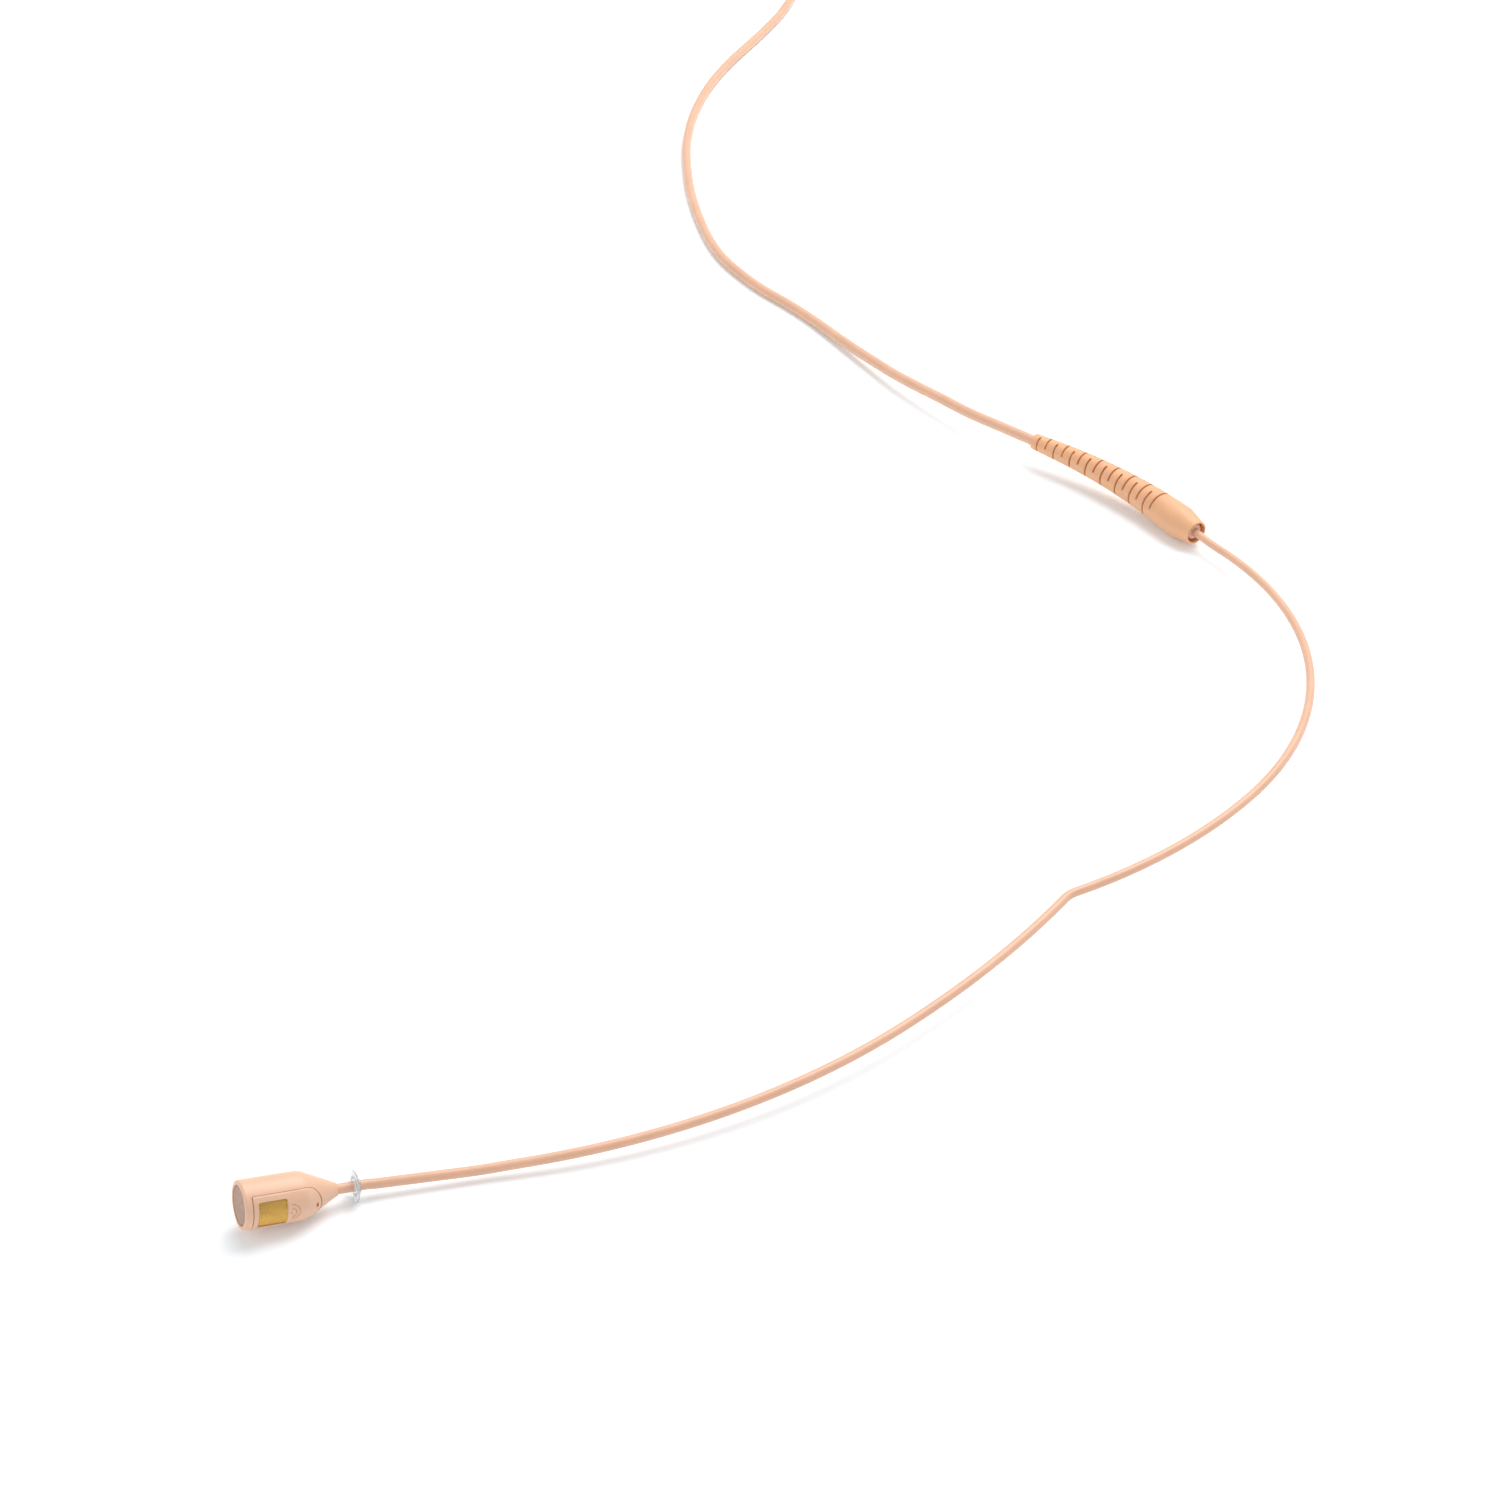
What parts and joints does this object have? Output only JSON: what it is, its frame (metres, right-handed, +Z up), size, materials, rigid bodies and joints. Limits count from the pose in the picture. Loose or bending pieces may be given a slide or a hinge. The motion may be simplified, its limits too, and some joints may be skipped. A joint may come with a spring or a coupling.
{
  "type": "headset microphone",
  "caption": "Miniature headset microphone with a cylindrical directional capsule on a thin formable boom, a slotted strain relief and a thin cable with a screw connector.",
  "frame": {"origin": "on the surface that the microphone lies on, under the centre of the box around capsule, boom and strain relief, measured without the free cable", "axes": "+Z up, +Y from the capsule end towards the cable end, +X to the right with the capsule on the left"},
  "size_m": [0.1296, 0.3928, 0.0071],
  "materials": {
    "skin_plastic": "satin moulded plastic in a beige skin tone",
    "skin_jacket": "smooth satin jacket in a beige skin tone",
    "relief_rubber": "matt rubber in a warmer orange beige",
    "front_mesh": "fine acoustic screen, grey beige",
    "dark_felt": "dense felt",
    "gold_mesh": "fine woven gold plated mesh",
    "bright_metal": "bright nickel or steel",
    "gold_metal": "gold plated brass",
    "copper": "enamelled copper",
    "film": "thin polymer film",
    "white_plastic": "white insulator",
    "black_plastic": "black moulded package",
    "black_rubber": "black rubber",
    "green_board": "circuit board",
    "clear_silicone": "translucent clear silicone",
    "red_sleeve": "heat shrink sleeve",
    "dark_tie": "hook and loop strap"
  },
  "bodies": {
    "microphone": {"capsule_housing": "skin_plastic", "front_screen": "front_mesh", "front_damper": "dark_felt", "side_insert_left": "skin_plastic", "side_insert_right": "skin_plastic", "side_mesh_left": "gold_mesh", "side_mesh_right": "gold_mesh", "cartridge_can": "bright_metal", "cartridge_gasket": "black_rubber", "diaphragm_ring": "gold_metal", "diaphragm": "film", "spacer_ring": "film", "backplate": "bright_metal", "insulator_cup": "white_plastic", "contact_post": "gold_metal", "amplifier_board": "green_board", "amplifier_chip": "black_plastic", "lead_wires": "copper", "boom_anchor": "bright_metal", "boom_jacket": "skin_jacket", "boom_forming_wire": "bright_metal", "boom_signal_core": "copper", "boom_ferrule": "skin_jacket", "crimp_sleeve": "bright_metal", "splice_sleeves": "red_sleeve", "cable_anchor_ring": "bright_metal", "strain_relief": "relief_rubber", "cable_run": "skin_jacket", "cable_coil": "skin_jacket", "cable_tail": "skin_jacket", "coil_tie": "dark_tie", "connector_boot": "black_rubber", "connector_crimp": "gold_metal", "connector_body": "gold_metal", "nut_retaining_ring": "bright_metal", "connector_insulator": "white_plastic", "center_contact": "gold_metal"},
    "moisture_disc": {"moisture_disc": "clear_silicone"},
    "coupling_nut": {"coupling_nut": "gold_metal"}
  },
  "joints": [
    {"name": "moisture_disc_slide", "type": "slide", "parent": "microphone", "child": "moisture_disc", "axis": [0.8992, 0.4098, -0.153], "range_m": [-0.0015, 0.0005]},
    {"name": "coupling_nut_turn", "type": "hinge", "parent": "microphone", "child": "coupling_nut", "pos_m": [-0.0491, 0.3044, 0.003], "axis": [-1, 0, 0], "continuous": true}
  ]
}
